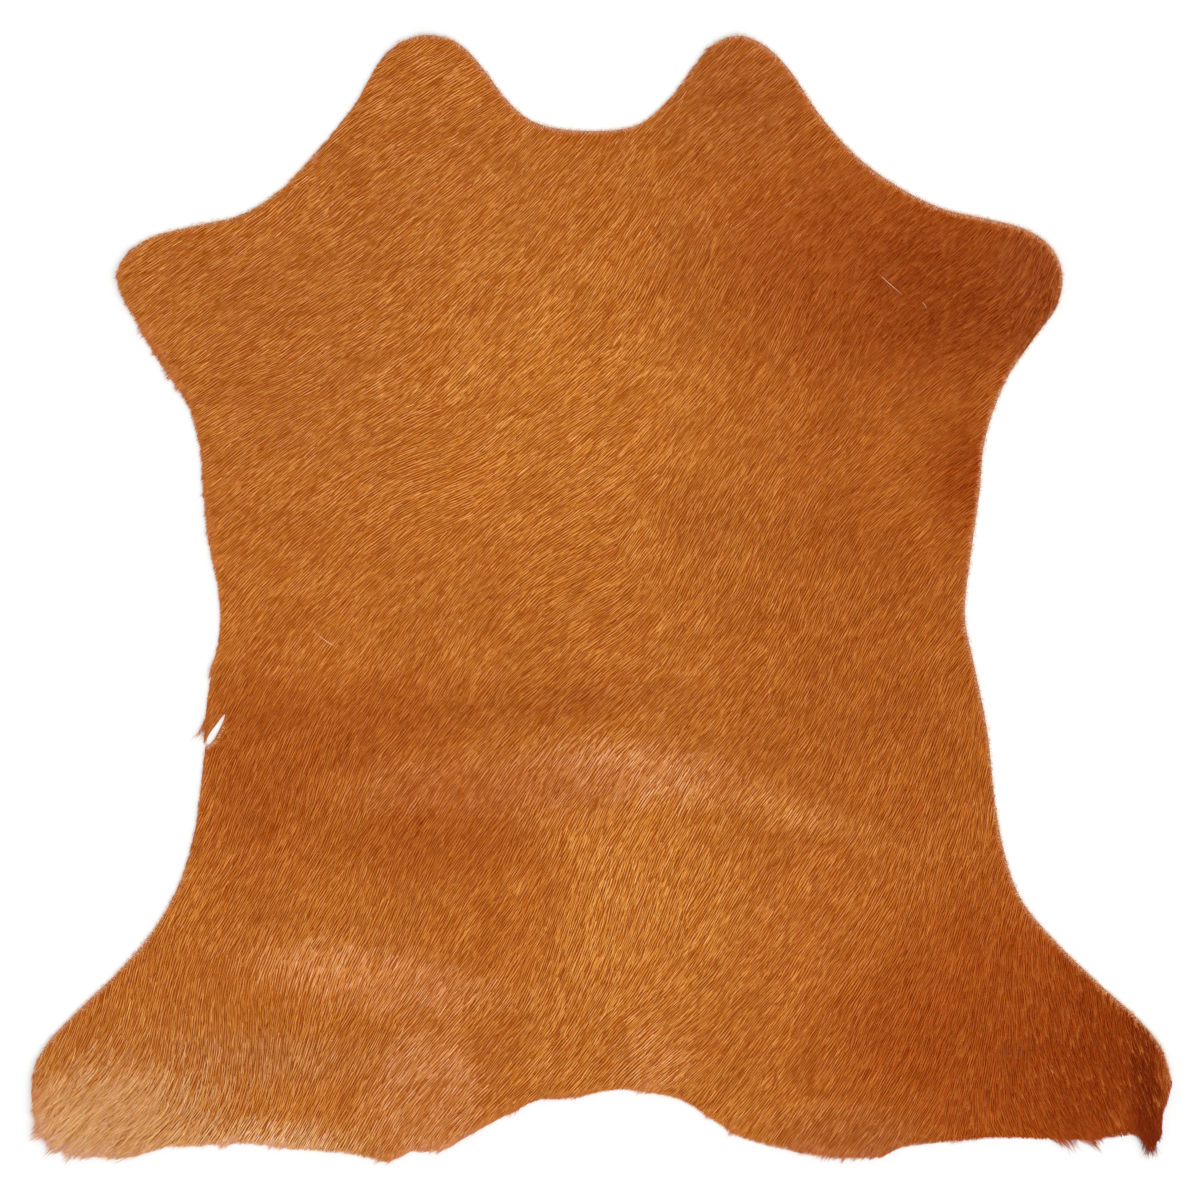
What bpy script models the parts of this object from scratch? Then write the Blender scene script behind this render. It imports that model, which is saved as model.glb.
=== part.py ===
"""A calf hide tanned with its hair on: one flat piece of leather, trimmed round the neck and legs.

It lies on the floor hair side up, seen from above with the neck towards +Y. The solid holds the
leather and the coat that lies on it. The origin is on the floor, under the middle of the hide.
"""

import math
from collections import namedtuple

import bmesh
import bpy
from mathutils import Matrix, Vector
from mathutils.geometry import delaunay_2d_cdt, interpolate_bezier
from mathutils.kdtree import KDTree

MM = 0.001

# Driving dimensions, in metres
LEATHER = 1.5 * MM  # the tanned skin
COAT = 2.5 * MM  # the hair lying on it, away from the edge
RIM_COAT = 1.0 * MM  # the hair where it thins out at the cut edge
RIM_WIDTH = 14 * MM  # how far in from the edge the coat reaches its full depth

# How finely the solid follows the hide
CUT_STEP = 9 * MM  # between points along the cut edge
GRID_STEP = 23 * MM  # between points across the hide
EDGE_CLEARANCE = 9 * MM  # from the cut edge to the nearest of those

# The cut line, clockwise seen from above, in millimetres: x from the line down the middle of the
# back, y from the end of the hind legs towards the neck. A curved stretch is smooth through its
# points, and a knifed one runs straight from point to point.
Stretch = namedtuple("Stretch", "place line points")
CUT_LINE = (
    Stretch("left neck flap", "curved", (
        (-193, 854), (-180, 878), (-166, 893), (-144, 902),
        (-117, 897), (-96, 877), (-79, 854),
    )),
    Stretch("neck", "curved", ((-59, 835), (-33, 827), (8, 826), (32, 832), (53, 850))),
    Stretch("right neck flap", "curved", (
        (70, 872), (88, 894), (109, 902), (130, 894), (150, 875), (172, 842),
    )),
    Stretch("right shoulder", "curved", ((199, 810), (229, 786), (271, 764), (318, 753))),
    Stretch("right foreleg", "curved", (
        (343, 745), (362, 729), (369, 708), (364, 684), (343, 654), (323, 623),
    )),
    Stretch("right flank", "curved", (
        (307, 577), (303, 537), (296, 486), (291, 437), (298, 400),
        (309, 345), (315, 289), (323, 246), (336, 210),
    )),
    Stretch("right hind leg", "curved", (
        (362, 178), (398, 143), (430, 114), (448, 91), (455, 64), (452, 49),
        (447, 34), (447, 21), (441, 13), (428, 22), (399, 17),
    )),
    Stretch("right buttock", "curved", (
        (366, 17), (318, 18), (274, 15), (238, 11), (223, 4), (188, 3), (140, 11),
    )),
    Stretch("tail", "curved", (
        (108, 20), (86, 34), (62, 49), (34, 55), (14, 57),
        (-34, 50), (-50, 50), (-76, 38), (-114, 17),
    )),
    Stretch("left buttock", "curved", (
        (-129, 9), (-155, 7), (-171, 0), (-205, 6), (-254, 10), (-285, 14),
    )),
    Stretch("left hind leg", "curved", (
        (-325, 12), (-352, 11), (-386, 4), (-431, 9), (-450, 24), (-455, 61),
        (-447, 91), (-418, 123), (-387, 153),
    )),
    Stretch("left flank, below the nick", "curved", (
        (-360, 185), (-339, 221), (-327, 261), (-321, 301),
    )),
    Stretch("nick in the left flank", "knifed", (
        (-318, 332), (-312, 335), (-304, 350), (-301, 360), (-307, 352), (-314, 343), (-318, 336),
    )),
    Stretch("left flank, above the nick", "curved", (
        (-317, 364), (-312, 393), (-306, 429), (-309, 464), (-316, 501),
        (-320, 537), (-323, 571), (-332, 605), (-351, 635),
    )),
    Stretch("left foreleg", "curved", (
        (-369, 664), (-384, 690), (-389, 708), (-380, 727), (-362, 740), (-324, 750),
    )),
    Stretch("left shoulder", "curved", ((-290, 758), (-259, 777), (-229, 808), (-207, 834))),
)

# Where the underside rises off the floor: soft ridges left from when the hide was folded for
# storage, and ends that no longer lie quite flat. Each is a long bell. Places as for the cut line,
# heading in degrees from the x axis, the rest in millimetres.
Swell = namedtuple("Swell", "place middle heading half_length half_width height")
SWELLS = (
    Swell("across the loin, left", (-140, 327), 5, 120, 44, 2.5),
    Swell("across the loin, middle", (0, 331), -2, 130, 46, 2.5),
    Swell("across the loin, right", (130, 304), -18, 110, 42, 2.2),
    Swell("inside the left thigh", (-184, 160), 7, 100, 40, 2.5),
    Swell("left of the tail", (-120, 62), -55, 55, 34, 1.8),
    Swell("right of the tail", (56, 78), -42, 55, 34, 1.8),
    Swell("down the right shoulder", (186, 690), -85, 170, 52, 2.0),
    Swell("right hind leg's end", (462, 66), 0, 75, 75, 5.0),
    Swell("left hind leg's end", (-462, 52), 0, 70, 70, 4.0),
    Swell("right foreleg's end", (376, 712), 0, 65, 65, 4.0),
    Swell("left foreleg's end", (-396, 708), 0, 60, 60, 3.5),
    Swell("left neck flap's end", (-146, 912), 0, 60, 60, 3.0),
    Swell("right neck flap's end", (110, 912), 0, 60, 60, 3.0),
)

COAT_COLOUR = (0.45, 0.15, 0.035, 1.0)


def clear_scene():
    for old in list(bpy.data.objects):
        bpy.data.objects.remove(old, do_unlink=True)


def hide_material():
    """Caramel calf hair: dull, with no metal in it."""
    material = bpy.data.materials.new("hair_on_hide")
    material.use_nodes = True
    shader = material.node_tree.nodes["Principled BSDF"]
    shader.inputs["Base Color"].default_value = COAT_COLOUR
    shader.inputs["Roughness"].default_value = 0.6
    shader.inputs["Metallic"].default_value = 0.0
    return material


def handles(before, at, after):
    """The two handles that carry a smooth line through a point, a third of the way to its neighbours."""
    slope = (after - before) / ((at - before).length + (after - at).length)
    return at - slope * (at - before).length / 3, at + slope * (after - at).length / 3


def cut_line():
    """Evenly stepped points round the whole cut line, in metres."""
    points, sharp = [], []
    for stretch in CUT_LINE:
        points += [Vector(point) * MM for point in stretch.points]
        sharp += [stretch.line == "knifed"] * len(stretch.points)
    count = len(points)
    arms = [
        (at, at) if sharp[i] else handles(points[i - 1], at, points[(i + 1) % count])
        for i, at in enumerate(points)
    ]
    line = []
    for i, start in enumerate(points):
        end = points[(i + 1) % count]
        steps = max(1, round((end - start).length / CUT_STEP))
        arm_out, arm_in = arms[i][1], arms[(i + 1) % count][0]
        line += interpolate_bezier(start, arm_out, arm_in, end, steps + 1)[:-1]
    return line


def box_of(line):
    """The lowest and highest corners of the cut line's box."""
    return (
        Vector((min(p.x for p in line), min(p.y for p in line))),
        Vector((max(p.x for p in line), max(p.y for p in line))),
    )


def bell(distance, reach):
    """1 at the middle, falling smoothly to 0 at the reach."""
    return 0.5 + 0.5 * math.cos(math.pi * min(distance / reach, 1.0))


def lie(point):
    """How high the underside lies over the floor at a point, all in metres."""
    height = 0.0
    for swell in SWELLS:
        off = (point - Vector(swell.middle) * MM).to_3d()
        off.rotate(Matrix.Rotation(math.radians(-swell.heading), 3, "Z"))
        along, aside = off.x / (swell.half_length * MM), off.y / (swell.half_width * MM)
        height += swell.height * MM * bell(math.hypot(along, aside), 1.0)
    return height


def across(line):
    """Points on a staggered grid over the hide, clear of its cut edge."""
    edge = KDTree(len(line))
    for i, point in enumerate(line):
        edge.insert(point.to_3d(), i)
    edge.balance()
    row_step = GRID_STEP * math.sqrt(3) / 2
    low, high = box_of(line)
    points = []
    for row in range(math.ceil((high.y - low.y) / row_step)):
        for column in range(math.ceil((high.x - low.x) / GRID_STEP)):
            at = low + Vector(((column + 0.5 * (row % 2)) * GRID_STEP, row * row_step))
            if edge.find(at.to_3d())[2] > EDGE_CLEARANCE:
                points.append(at)
    return points, edge


def make_hide():
    """The underside as one skin, thickened upwards to the top of the coat."""
    line = cut_line()
    grid, edge = across(line)
    ring = [(i, (i + 1) % len(line)) for i in range(len(line))]
    inside_only, weld = 1, 0.01 * MM
    flat, _, faces, *_ = delaunay_2d_cdt(line + grid, ring, [], inside_only, weld)
    middle = sum(box_of(line), Vector((0, 0))) / 2

    skin = bmesh.new()
    corners = [skin.verts.new((*(p - middle), lie(p))) for p in flat]
    for face in faces:
        skin.faces.new([corners[i] for i in face])
    bmesh.ops.delete(skin, geom=[v for v in skin.verts if not v.link_faces], context="VERTS")
    mesh = bpy.data.meshes.new("hide")
    skin.to_mesh(mesh)
    skin.free()

    hide = bpy.data.objects.new("hide", mesh)
    bpy.context.collection.objects.link(hide)
    mesh.materials.append(hide_material())
    mesh.shade_smooth()
    mesh.set_sharp_from_angle(angle=math.radians(40))

    depth = hide.vertex_groups.new(name="coat depth")
    for vertex in mesh.vertices:
        to_edge = edge.find((vertex.co.xy + middle).to_3d())[2]
        depth.add([vertex.index], 1 - bell(to_edge, RIM_WIDTH), "REPLACE")
    thicken = hide.modifiers.new("leather and coat", "SOLIDIFY")
    thicken.thickness = LEATHER + COAT
    thicken.offset = 1
    thicken.vertex_group = depth.name
    thicken.thickness_vertex_group = (LEATHER + RIM_COAT) / (LEATHER + COAT)
    return hide


clear_scene()
make_hide()
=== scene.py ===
"""A calf hide tanned with its hair on, lying flat with the hair up and the neck towards +Y.

The leather comes first, then the coat that grows on it, the hair along its cut edge, the tufts
there, the long hair of one leg and a few stray hairs. The floor, the light and the camera come last.
"""

import math
from collections import namedtuple

import bmesh
import bpy
import numpy as np
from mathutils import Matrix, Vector
from mathutils.bvhtree import BVHTree
from mathutils.geometry import delaunay_2d_cdt
from mathutils.kdtree import KDTree


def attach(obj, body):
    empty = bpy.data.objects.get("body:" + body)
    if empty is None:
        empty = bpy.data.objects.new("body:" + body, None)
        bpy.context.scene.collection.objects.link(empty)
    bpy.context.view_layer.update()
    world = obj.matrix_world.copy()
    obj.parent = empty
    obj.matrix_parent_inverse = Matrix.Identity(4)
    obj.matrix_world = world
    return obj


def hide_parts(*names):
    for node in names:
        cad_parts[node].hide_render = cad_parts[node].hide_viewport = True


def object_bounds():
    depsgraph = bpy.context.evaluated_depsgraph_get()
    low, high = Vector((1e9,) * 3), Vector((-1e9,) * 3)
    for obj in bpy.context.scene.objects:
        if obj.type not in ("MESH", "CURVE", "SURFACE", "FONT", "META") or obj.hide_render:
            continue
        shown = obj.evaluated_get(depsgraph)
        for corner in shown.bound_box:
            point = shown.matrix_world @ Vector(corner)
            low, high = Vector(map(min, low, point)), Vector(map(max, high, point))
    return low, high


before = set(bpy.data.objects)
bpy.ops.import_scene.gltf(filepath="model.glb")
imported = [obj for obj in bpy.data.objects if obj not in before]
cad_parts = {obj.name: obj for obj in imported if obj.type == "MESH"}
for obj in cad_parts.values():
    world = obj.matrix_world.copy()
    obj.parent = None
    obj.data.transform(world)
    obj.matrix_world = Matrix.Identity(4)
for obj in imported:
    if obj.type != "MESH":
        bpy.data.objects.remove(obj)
cad_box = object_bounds()


# ------------------------------------------------------------------------------------------------
# The leather
#
# One calf skin, tanned and shaved to 1.5 mm, then trimmed round neck, legs and tail with a knife.
# The flesh side is raw suede and lies on the floor. The grain side shows only between the hairs.
# ------------------------------------------------------------------------------------------------
MM = 0.001
LEATHER = 1.5 * MM
BARE_RIM = 0.7 * MM  # from the hide's outline in to the knife cut, where the hair points inwards
NICK = Vector((-309, -105)) * MM  # a slip of the knife in the left flank, too narrow for that
NICK_REACH = 34 * MM  # round it, within which the knife cut comes up to the outline
NET = 7.5 * MM  # between the corners of the leather's mesh
NET_CLEARANCE = 0.6 * NET  # from the knife cut to the nearest of them inside it
WELD = 0.01 * MM  # two corners closer than this are one
STEEP = 0.5  # a face whose normal rises or falls by less than this belongs to the cut
ABOVE, DOWN = 0.1, Vector((0, 0, -1))  # from how high, and which way, the hide is felt for

# How the hair stands round the cut, in millimetres: its length, how far its tips pass the hide's
# outline, how uneven they are, and how far back the leather ends under hair that points out over it
Edge = namedtuple("Edge", "place x y reach length past ragged back")
EDGES = (
    Edge("left hind leg's end", -410, -415, 55, 17, 1.2, 3.0, 4.5),
    Edge("left hind leg's edge", -300, -434, 50, 13, 0.4, 1.2, 1.5),
    Edge("left buttock", -180, -440, 40, 13.5, 0.4, 1.5, 1.5),
    Edge("left of the tail", -60, -395, 50, 13.5, 0.3, 1.2, 1.5),
    Edge("right buttock", 190, -440, 60, 13.5, 0.6, 1.8, 2.0),
    Edge("right hind leg's end", 440, -424, 26, 12, 0.8, 2.5, 3.0),
    Edge("left foreleg, behind", -345, 190, 50, 13.5, 0.6, 1.6, 1.5),
    Edge("left flank", -318, 70, 50, 13.5, 0.2, 1.2, 1.2),
    Edge("nick", -309, -105, 16, 9, -0.5, 0.2, 0.6),
)
ELSEWHERE = Edge("elsewhere", 0, 0, 0, 13.5, 0.0, 0.3, 1.0)
ELSEWHERE_PULL = 0.05  # how much it counts everywhere, against 1 for a place at its middle

# Which way the tips of the hair point: x and y from the hide's middle in millimetres, heading in
# degrees from the x axis. The coat swirls a little, as it does where the skin stretched over the
# shoulder, flank and thigh.
Lie = namedtuple("Lie", "place x y heading")
LIE = (
    Lie("left neck flap", -146, 414, 214),
    Lie("right neck flap", 118, 406, 222),
    Lie("neck", -18, 342, 226),
    Lie("nape, right", 46, 302, 239),
    Lie("left neck", -214, 316, 221),
    Lie("right neck", 130, 322, 226),
    Lie("left foreleg", -346, 254, 217),
    Lie("left shoulder", -218, 238, 213),
    Lie("withers, left", -106, 262, 223),
    Lie("withers", -18, 246, 232),
    Lie("withers, right", 62, 246, 246),
    Lie("right shoulder, high", 206, 290, 226),
    Lie("right shoulder, low", 176, 232, 246),
    Lie("right shoulder, outer", 242, 226, 230),
    Lie("right foreleg", 274, 254, 217),
    Lie("behind the right foreleg", 306, 218, 211),
    Lie("right foreleg, upper edge", 326, 284, 222),
    Lie("right foreleg's end", 370, 258, 270),
    Lie("left flank's edge, upper", -334, 176, 221),
    Lie("left flank, upper", -282, 174, 202),
    Lie("left ribs", -202, 180, 217),
    Lie("back, left", -98, 174, 228),
    Lie("back", -10, 182, 218),
    Lie("back, right", 84, 182, 229),
    Lie("right ribs", 190, 176, 241),
    Lie("right ribs, inner", 132, 142, 229),
    Lie("right flank, upper", 270, 176, 220),
    Lie("left ribs, outer", -196, 112, 222),
    Lie("left ribs, where the hair lies flattest", -144, 110, 196),
    Lie("left flank", -266, 102, 219),
    Lie("middle of the back", -34, 110, 216),
    Lie("right ribs, middle", 110, 86, 240),
    Lie("right flank", 262, 102, 217),
    Lie("left flank, lower", -266, 22, 226),
    Lie("left side", -162, 22, 223),
    Lie("left of the swirl", -82, 4, 235),
    Lie("swirl on the loin", -22, 4, 206),
    Lie("loin, right", 78, 22, 243),
    Lie("right side", 190, 6, 244),
    Lie("right flank, lower", 270, -2, 235),
    Lie("left flank above the nick", -308, -56, 244),
    Lie("left flank by the nick", -262, -60, 231),
    Lie("left side, lower", -146, -50, 237),
    Lie("loin", -18, -62, 222),
    Lie("loin, right and lower", 98, -58, 229),
    Lie("right side, lower", 198, -74, 245),
    Lie("left thigh, top", -256, -138, 252),
    Lie("left of the rump", -130, -150, 232),
    Lie("rump, left and high", -104, -114, 234),
    Lie("rump", -2, -154, 236),
    Lie("rump, left", -46, -190, 249),
    Lie("rump, right", 98, -204, 246),
    Lie("right of the rump", 126, -138, 235),
    Lie("right thigh, top", 254, -138, 240),
    Lie("right thigh's edge", 304, -148, 262),
    Lie("left thigh's edge", -334, -256, 238),
    Lie("left thigh", -274, -226, 242),
    Lie("left thigh, inner", -192, -234, 241),
    Lie("inside the left thigh", -150, -226, 252),
    Lie("lower rump, left", -86, -214, 226),
    Lie("lower rump", -10, -242, 251),
    Lie("inside the right thigh", 158, -250, 232),
    Lie("right thigh", 286, -242, 251),
    Lie("left hind leg, top", -354, -306, 262),
    Lie("left hind leg, inner side", -276, -338, 268),
    Lie("whorl in the left hind leg", -310, -372, 284),
    Lie("left hind leg, outer edge", -442, -350, 258),
    Lie("left hind leg, middle", -392, -384, 225),
    Lie("left hind leg's tip", -446, -404, 244),
    Lie("left hind leg's end", -404, -424, 216),
    Lie("left hind leg, lower edge", -348, -422, 219),
    Lie("left hind leg, below", -300, -412, 230),
    Lie("left thigh, low", -216, -316, 244),
    Lie("left of the tail", -122, -346, 229),
    Lie("left buttock", -210, -394, 241),
    Lie("above the tail", -26, -304, 248),
    Lie("tail, left edge", -38, -380, 226),
    Lie("tail", 38, -362, 221),
    Lie("right of the tail", 126, -386, 232),
    Lie("right thigh, low", 200, -300, 235),
    Lie("right buttock", 222, -380, 244),
    Lie("right buttock's edge", 212, -432, 230),
    Lie("right hind leg, inner side", 286, -338, 250),
    Lie("right hind leg", 358, -322, 280),
    Lie("right hind leg's end", 408, -410, 308),
    Lie("right hind leg, lower edge", 366, -414, 292),
    Lie("right hind leg's edge", 442, -376, 273),
)
LIE_REACH = 33 * MM
LEAST_PULL = 1e-12  # what each place still counts far away from all of them


def heading_at(x, y):
    """The direction of the hair tips at points in metres, in radians from the x axis."""
    east, north = np.zeros_like(x), np.zeros_like(x)
    for lie in LIE:
        apart = (x - lie.x * MM) ** 2 + (y - lie.y * MM) ** 2
        pull = np.exp(-apart / (2 * LIE_REACH**2)) + LEAST_PULL
        east += pull * math.cos(math.radians(lie.heading))
        north += pull * math.sin(math.radians(lie.heading))
    return np.arctan2(north, east)


def by_place(x, y, field):
    """One of the lengths in EDGES at points, in metres."""
    total = np.full_like(x, ELSEWHERE_PULL)
    value = total * getattr(ELSEWHERE, field)
    for edge in EDGES:
        apart = np.hypot(x / MM - edge.x, y / MM - edge.y) / edge.reach
        pull = np.exp(-2 * apart**2)
        total += pull
        value += pull * getattr(edge, field)
    return value / total * MM


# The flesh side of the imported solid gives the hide's outline and how it lies on the floor
flesh_side = bmesh.new()
flesh_side.from_mesh(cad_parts["hide"].data)
bmesh.ops.remove_doubles(flesh_side, verts=flesh_side.verts, dist=WELD)
upper_faces = [face for face in flesh_side.faces if face.normal.z > -STEEP]
bmesh.ops.delete(flesh_side, geom=upper_faces, context="FACES")
bmesh.ops.reverse_faces(flesh_side, faces=flesh_side.faces)
following = {}
for edge in flesh_side.edges:
    if edge.is_boundary:
        loop = edge.link_loops[0]
        following[loop.vert] = loop.link_loop_next.vert
corner = next(iter(following))
outline = []
for _ in following:
    outline.append(corner.co.xy)
    corner = following[corner]

# Each corner of the outline is cut in two, then the knife cut is drawn in from it
rounded = []
for start, end in zip(outline, outline[1:] + outline[:1]):
    rounded += [start.lerp(end, 0.25), start.lerp(end, 0.75)]
outline = np.array(rounded)
run = np.roll(outline, -1, 0) - np.roll(outline, 1, 0)
outwards = np.stack([run[:, 1], -run[:, 0]], 1) / np.hypot(*run.T)[:, None]
heading = heading_at(*outline.T)
over = np.clip(outwards[:, 0] * np.cos(heading) + outwards[:, 1] * np.sin(heading), 0, 1)
room = np.clip(np.hypot(*(outline - NICK).T) / NICK_REACH, 0, 1) ** 2
back = (BARE_RIM + by_place(*outline.T, "back") * over) * room
cut = [Vector(point) for point in outline - outwards * back[:, None]]

# A net of even triangles inside the cut, laid on the flesh side and thickened upwards
cut_points = KDTree(len(cut))
for index, point in enumerate(cut):
    cut_points.insert(point.to_3d(), index)
cut_points.balance()
row_step = NET * math.sqrt(3) / 2
inner = []
for row in range(math.ceil((cad_box[1][1] - cad_box[0][1]) / row_step)):
    for column in range(math.ceil((cad_box[1][0] - cad_box[0][0]) / NET)):
        x = cad_box[0][0] + (column + 0.5 * (row % 2)) * NET
        point = Vector((x, cad_box[0][1] + row * row_step))
        if cut_points.find(point.to_3d())[2] > NET_CLEARANCE:
            inner.append(point)
ring = [(index, (index + 1) % len(cut)) for index in range(len(cut))]
INSIDE_ONLY = 1
flat, _, net, *_ = delaunay_2d_cdt(cut + inner, ring, [], INSIDE_ONLY, WELD)
ground = BVHTree.FromBMesh(flesh_side)
flesh_side.free()
skin = bmesh.new()
corners = []
for point in flat:
    hit = ground.ray_cast(Vector((*point, ABOVE)), DOWN)[0]
    corners.append(skin.verts.new((*point, hit.z if hit else 0.0)))
for face in net:
    skin.faces.new([corners[index] for index in face])
bmesh.ops.delete(skin, geom=[v for v in skin.verts if not v.link_faces], context="VERTS")
leather = bpy.data.objects.new("leather", bpy.data.meshes.new("leather"))
bpy.context.collection.objects.link(leather)
skin.to_mesh(leather.data)
skin.free()
bpy.ops.object.select_all(action="DESELECT")
leather.select_set(True)
bpy.context.view_layer.objects.active = leather
bpy.ops.object.mode_set(mode="EDIT")
bpy.ops.mesh.select_all(action="SELECT")
bpy.ops.mesh.vertices_smooth(factor=0.5, repeat=5, xaxis=False, yaxis=False, zaxis=True)
bpy.ops.object.mode_set(mode="OBJECT")
bpy.ops.object.modifier_add(type="SOLIDIFY")
thicken = leather.modifiers[-1]
thicken.thickness = LEATHER
thicken.offset = 1
bpy.ops.object.modifier_apply(modifier=thicken.name)
bpy.ops.object.shade_smooth_by_angle(angle=math.radians(40))

# The height of the grain side and the distance in from the outline, on a fine grid for the hair
GRID = 2 * MM
MARGIN = 24 * MM  # how far the grid goes on past the hide
grid_low = np.array(cad_box[0][:2]) - MARGIN
columns, rows = (math.ceil(s / GRID) + 1 for s in np.array(cad_box[1][:2]) + MARGIN - grid_low)
grid_x = grid_low[0] + GRID * np.arange(columns)
grid_y = grid_low[1] + GRID * np.arange(rows)

grain_side = BVHTree.FromPolygons(
    [v.co for v in leather.data.vertices],
    [p.vertices for p in leather.data.polygons if p.normal.z > STEEP],
)
height_grid = np.zeros((rows, columns))
for row, y in enumerate(grid_y):
    for column, x in enumerate(grid_x):
        hit = grain_side.ray_cast(Vector((x, y, ABOVE)), DOWN)[0]
        if hit is None:
            hit = grain_side.find_nearest(Vector((x, y, LEATHER)))[0]
        height_grid[row, column] = hit.z

gap_grid = np.zeros((rows, columns))
(ax, ay), (bx, by) = outline.T, np.roll(outline, -1, 0).T
for row, y in enumerate(grid_y):
    px, py = grid_x[:, None], y
    along = ((px - ax) * (bx - ax) + (py - ay) * (by - ay)) / ((bx - ax) ** 2 + (by - ay) ** 2)
    along = np.clip(along, 0, 1)
    off = np.hypot(px - ax - along * (bx - ax), py - ay - along * (by - ay)).min(1)
    crosses = (ay > py) != (by > py)
    where = ax + (py - ay) / np.where(crosses, by - ay, 1) * (bx - ax)
    inside = (crosses & (px < where)).sum(1) % 2 == 1
    gap_grid[row] = np.where(inside, off, -off)


SHORT_OF_END = 1.001  # in cells, so that there is always a next corner to read


def between(grid, column, row, u, v):
    """The value of a grid inside its cells, at the shares u across them and v up them."""
    lower = grid[row, column] * (1 - u) + grid[row, column + 1] * u
    upper = grid[row + 1, column] * (1 - u) + grid[row + 1, column + 1] * u
    return lower * (1 - v) + upper * v


def read(grid, x, y):
    """What a grid over the hide says at points in metres."""
    across = np.clip((x - grid_low[0]) / GRID, 0, columns - SHORT_OF_END)
    up = np.clip((y - grid_low[1]) / GRID, 0, rows - SHORT_OF_END)
    column, row = across.astype(int), up.astype(int)
    return between(grid, column, row, across - column, up - row)


def add_node(material, kind, **settings):
    """A shader node, with its properties and the values of its sockets set."""
    node = material.node_tree.nodes.new(kind)
    for name, value in settings.items():
        if hasattr(node, name):
            setattr(node, name, value)
        else:
            node.inputs[name].default_value = value
    return node


def new_material(name):
    """A new material, its shader, and the call that links two of its sockets."""
    material = bpy.data.materials.new(name)
    material.use_nodes = True
    return material, material.node_tree.nodes["Principled BSDF"], material.node_tree.links.new


def linear(colour):
    """A colour on the usual 0 to 255 scale, or a row for each of many, as the shader counts it."""
    share = np.asarray(colour) / 255
    return np.where(share <= 0.04045, share / 12.92, ((share + 0.055) / 1.055) ** 2.4)


def ramp(material, *stops):
    """A colour ramp from (place, colour) pairs, where the colours are linear."""
    node = material.node_tree.nodes.new("ShaderNodeValToRGB")
    elements = node.color_ramp.elements
    while len(elements) < len(stops):
        elements.new(0.5)
    for element, (place, colour) in zip(elements, stops):
        element.position, element.color = place, (*colour, 1)
    return node


# The grain side carries the short dense underhair, in streaks
underhair, shader, link = new_material("underhair on grain")
place = add_node(underhair, "ShaderNodeTexCoord")
turn = add_node(underhair, "ShaderNodeMapping", Rotation=(0, 0, math.radians(-52)), Scale=(60, 900, 1))
streaks = add_node(underhair, "ShaderNodeTexNoise", Scale=1.0, Detail=3.0, Roughness=0.6)
colour = ramp(underhair, (0.3, linear((158, 74, 18))), (0.7, linear((188, 100, 34))))
bump = add_node(underhair, "ShaderNodeBump", Strength=0.6, Distance=0.4 * MM)
link(place.outputs["Object"], turn.inputs["Vector"])
link(turn.outputs["Vector"], streaks.inputs["Vector"])
link(streaks.outputs["Fac"], colour.inputs["Fac"])
link(streaks.outputs["Fac"], bump.inputs["Height"])
link(colour.outputs["Color"], shader.inputs["Base Color"])
link(bump.outputs["Normal"], shader.inputs["Normal"])
shader.inputs["Roughness"].default_value = 0.7
shader.inputs["Specular IOR Level"].default_value = 0.1

# The flesh side, brushed suede
suede, shader, link = new_material("suede flesh side")
place = add_node(suede, "ShaderNodeTexCoord")
cloud = add_node(suede, "ShaderNodeTexNoise", Scale=30.0, Detail=5.0, Roughness=0.6)
nap = add_node(suede, "ShaderNodeTexNoise", Scale=1400.0, Detail=2.0, Roughness=0.7)
colour = ramp(suede, (0.3, linear((176, 158, 136))), (0.7, linear((206, 191, 170))))
bump = add_node(suede, "ShaderNodeBump", Strength=0.5, Distance=0.2 * MM)
link(place.outputs["Object"], cloud.inputs["Vector"])
link(place.outputs["Object"], nap.inputs["Vector"])
link(cloud.outputs["Fac"], colour.inputs["Fac"])
link(nap.outputs["Fac"], bump.inputs["Height"])
link(colour.outputs["Color"], shader.inputs["Base Color"])
link(bump.outputs["Normal"], shader.inputs["Normal"])
shader.inputs["Roughness"].default_value = 0.95
shader.inputs["Specular IOR Level"].default_value = 0.1

# The knife cut, where the tanned fibre shows pale
cut_edge, shader, link = new_material("knife-cut edge")
place = add_node(cut_edge, "ShaderNodeTexCoord")
fibre = add_node(cut_edge, "ShaderNodeTexNoise", Scale=900.0, Detail=3.0, Roughness=0.6)
colour = ramp(cut_edge, (0.3, linear((196, 164, 128))), (0.7, linear((222, 198, 168))))
bump = add_node(cut_edge, "ShaderNodeBump", Strength=0.4, Distance=0.2 * MM)
link(place.outputs["Object"], fibre.inputs["Vector"])
link(fibre.outputs["Fac"], colour.inputs["Fac"])
link(fibre.outputs["Fac"], bump.inputs["Height"])
link(colour.outputs["Color"], shader.inputs["Base Color"])
link(bump.outputs["Normal"], shader.inputs["Normal"])
shader.inputs["Roughness"].default_value = 0.85
shader.inputs["Specular IOR Level"].default_value = 0.15

for material in (underhair, suede, cut_edge):
    leather.data.materials.append(material)
for face in leather.data.polygons:
    face.material_index = 0 if face.normal.z > STEEP else 1 if face.normal.z < -STEEP else 2


def tie_to_frame(piece):
    """Lets a piece ride on the root body and stand for the hide of the frame."""
    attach(piece, "root")
    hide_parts("hide")


tie_to_frame(leather)


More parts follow.
